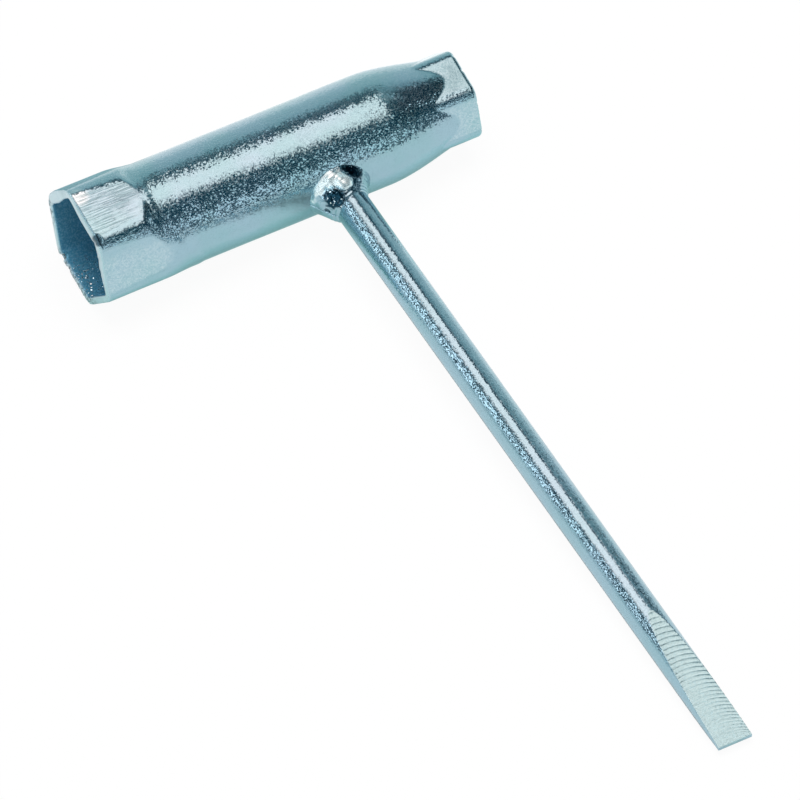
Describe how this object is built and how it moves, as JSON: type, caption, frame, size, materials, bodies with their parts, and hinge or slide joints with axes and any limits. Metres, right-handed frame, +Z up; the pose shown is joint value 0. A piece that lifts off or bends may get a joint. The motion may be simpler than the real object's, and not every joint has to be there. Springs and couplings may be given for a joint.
{
  "type": "spark plug wrench",
  "caption": "Zinc-plated tubular wrench with a hexagon socket at each end and a round bar welded to its side as a lever, its tip milled into a screwdriver blade.",
  "frame": {"origin": "centre of the large socket's mouth, on the tube's axis", "axes": "+X runs down the tube from the large socket to the small one, the bar points along -Y, +Z is up when the wrench lies flat and faces the blade's upper flat"},
  "size_m": [0.0816, 0.1731, 0.024],
  "materials": {
    "plated_tube": "bright zinc plate, finely grained",
    "plated_bar": "bright zinc plate, finely grained",
    "plated_weld": "zinc plate over weld metal, glossy"
  },
  "bodies": {
    "root": {"socket_tube": "plated_tube", "screwdriver_bar": "plated_bar", "weld_run_upper": "plated_weld", "weld_run_lower": "plated_weld"}
  },
  "joints": []
}
